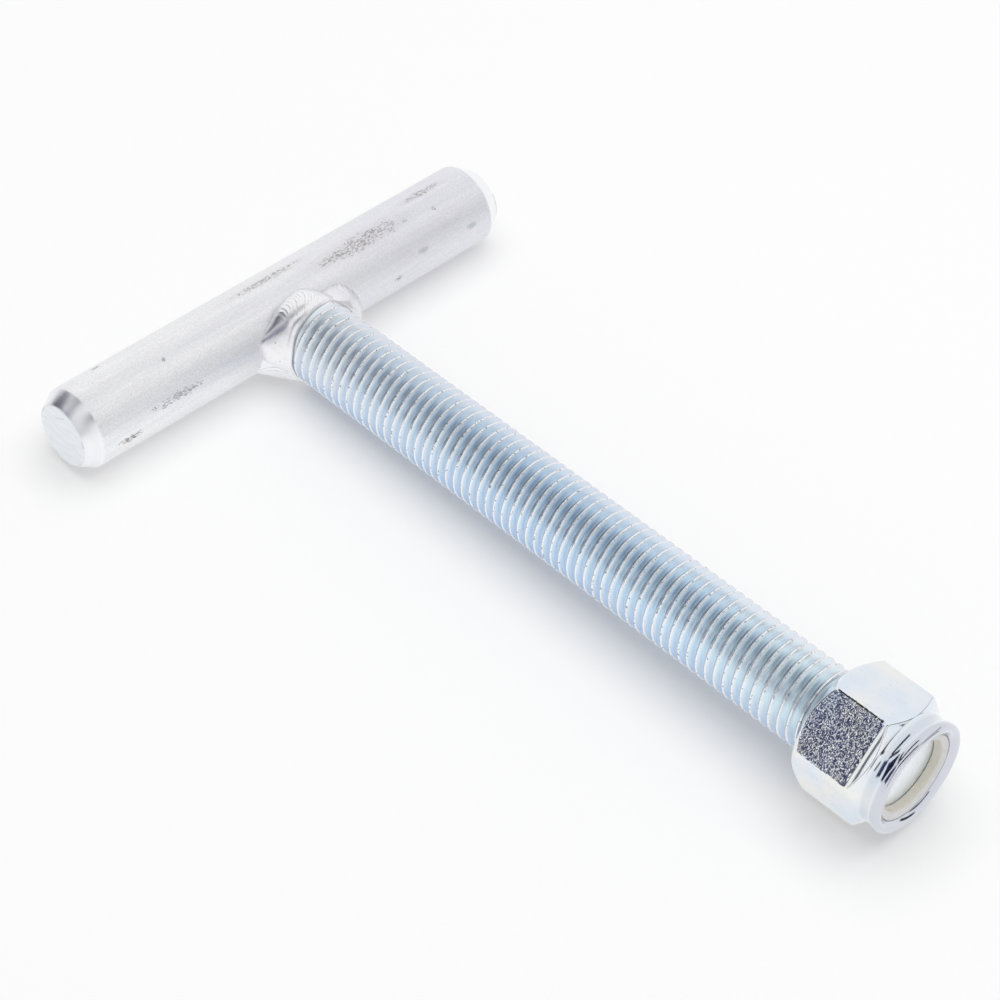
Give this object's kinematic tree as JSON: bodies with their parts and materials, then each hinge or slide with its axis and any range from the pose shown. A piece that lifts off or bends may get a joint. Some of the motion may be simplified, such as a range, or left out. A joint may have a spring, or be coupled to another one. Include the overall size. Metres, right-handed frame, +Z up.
{
  "type": "anchor bolt",
  "caption": "T-shaped anchor bolt: a threaded rod butt welded to a round cross bar, with a nylon lock nut on its free end, for clamping through a slot.",
  "frame": {"origin": "where the rod's axis crosses the cross bar's axis, at the middle of the bar", "axes": "+X along the rod from the bar to the nut, +Y along the cross bar, +Z up as it lies on its side"},
  "size_m": [0.1629, 0.102, 0.0242],
  "materials": {
    "bar_steel": "satin zinc plate over rolled bar",
    "thread_zinc": "blue passivated zinc plate",
    "weld_metal": "bright plated weld bead",
    "nut_zinc": "bright zinc plate",
    "nylon": "natural nylon"
  },
  "bodies": {
    "weldment": {"cross_bar": "bar_steel", "threaded_rod": "thread_zinc", "near_weld": "weld_metal", "far_weld": "weld_metal"},
    "insert": {"nylon_insert": "nylon"},
    "nut": {"lock_nut": "nut_zinc"}
  },
  "joints": [
    {"name": "nut_travel", "type": "slide", "parent": "weldment", "child": "insert", "axis": [1, 0, 0], "range_m": [-0.1241, 0.0141]},
    {"name": "nut_turn", "type": "hinge", "parent": "insert", "child": "nut", "pos_m": [0.137, 0, 0], "axis": [1, 0, 0], "range_deg": [-22320, 2520], "deforming": ["nylon_insert"]}
  ],
  "couplings": [
    {"joint": "nut_travel", "follows": "nut_turn", "m_per_rad": 0.00031831}
  ]
}
